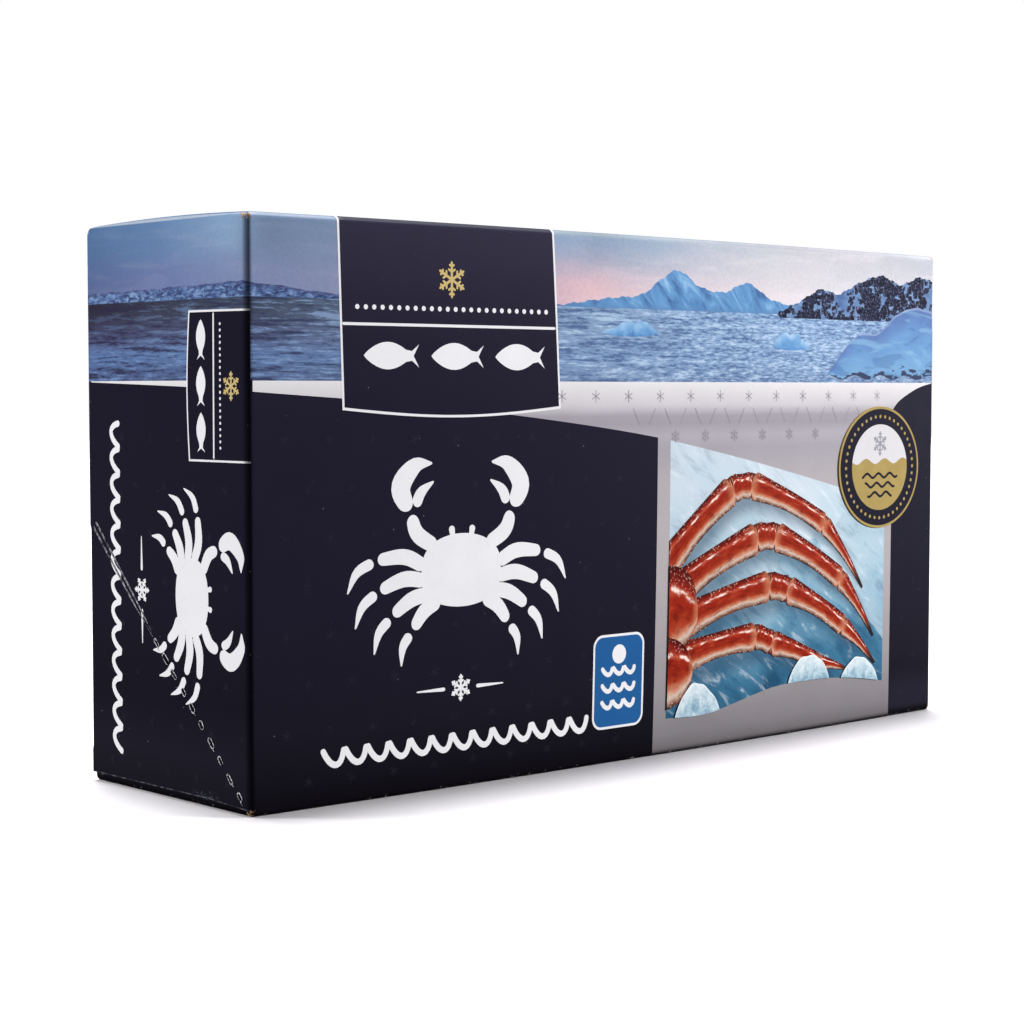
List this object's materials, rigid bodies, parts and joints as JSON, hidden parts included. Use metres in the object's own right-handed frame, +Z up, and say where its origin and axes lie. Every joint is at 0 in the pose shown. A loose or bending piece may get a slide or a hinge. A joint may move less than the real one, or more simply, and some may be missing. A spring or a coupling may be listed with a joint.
{
  "type": "folding carton of frozen snow crab legs",
  "caption": "Shut rectangular board carton standing on its long side, with bellied panels, rounded creases and glued outer end flaps; holds frozen cooked snow crab legs.",
  "frame": {"origin": "middle of the base, at the bottom centre of the bounding box", "axes": "+X along the carton's length, +Z up, the printed front panel faces -Y and the end seen in the picture faces -X"},
  "size_m": [0.314, 0.0944, 0.1709],
  "materials": {
    "printed_board": "coated folding boxboard, offset printed, slight sheen"
  },
  "bodies": {
    "root": {"carton": "printed_board"}
  },
  "joints": []
}
